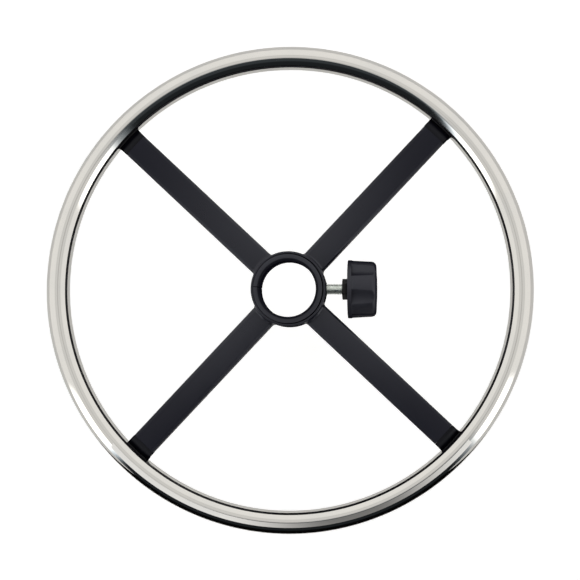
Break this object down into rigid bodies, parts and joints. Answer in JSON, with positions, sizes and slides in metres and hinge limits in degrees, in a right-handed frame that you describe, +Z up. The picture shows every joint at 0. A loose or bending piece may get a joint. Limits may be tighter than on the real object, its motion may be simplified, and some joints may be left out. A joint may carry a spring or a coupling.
{
  "type": "stool foot ring",
  "caption": "Foot ring for a drafting stool: chromed tube ring on a black spider whose hub clamps to the stool's round column with a hand screw.",
  "frame": {"origin": "centre of the ring, on the axis of the column bore, halfway up the ring's tube", "axes": "+Z up along the column bore, +X along the clamp screw towards its knob"},
  "size_m": [0.457, 0.457, 0.0544],
  "materials": {
    "ring_chrome": "polished bright chrome plate",
    "spider_coat": "semi-matte black powder coat",
    "saddle_nylon": "moulded black nylon",
    "bush_nylon": "moulded charcoal nylon",
    "knob_plastic": "fine moulded texture, charcoal",
    "zinc_plate": "bright zinc plate",
    "black_steel": "black oxide",
    "pad_brass": "turned"
  },
  "bodies": {
    "ring_frame": {"rim_tube": "ring_chrome", "arm_1": "spider_coat", "arm_2": "spider_coat", "arm_3": "spider_coat", "arm_4": "spider_coat", "rim_saddle_1": "saddle_nylon", "rim_saddle_2": "saddle_nylon", "rim_saddle_3": "saddle_nylon", "rim_saddle_4": "saddle_nylon", "rim_rivet_nut_1": "zinc_plate", "rim_rivet_nut_2": "zinc_plate", "rim_rivet_nut_3": "zinc_plate", "rim_rivet_nut_4": "zinc_plate", "rim_screw_1": "black_steel", "rim_screw_2": "black_steel", "rim_screw_3": "black_steel", "rim_screw_4": "black_steel", "hub_collar": "spider_coat", "clamp_weld_nut": "spider_coat", "column_bush": "bush_nylon"},
    "pad": {"thrust_pad": "pad_brass"},
    "knob": {"clamp_screw": "zinc_plate", "lock_nut": "black_steel", "knob_body": "knob_plastic", "knob_cap": "knob_plastic"}
  },
  "joints": [
    {"name": "clamp_travel", "type": "slide", "parent": "ring_frame", "child": "pad", "axis": [1, 0, 0], "range_m": [0, 0.0045]},
    {"name": "clamp_turn", "type": "hinge", "parent": "pad", "child": "knob", "pos_m": [0.06, 0, 0], "axis": [1, 0, 0], "range_deg": [0, 1080]}
  ],
  "couplings": [
    {"joint": "clamp_travel", "follows": "clamp_turn", "m_per_rad": 0.0002387}
  ]
}
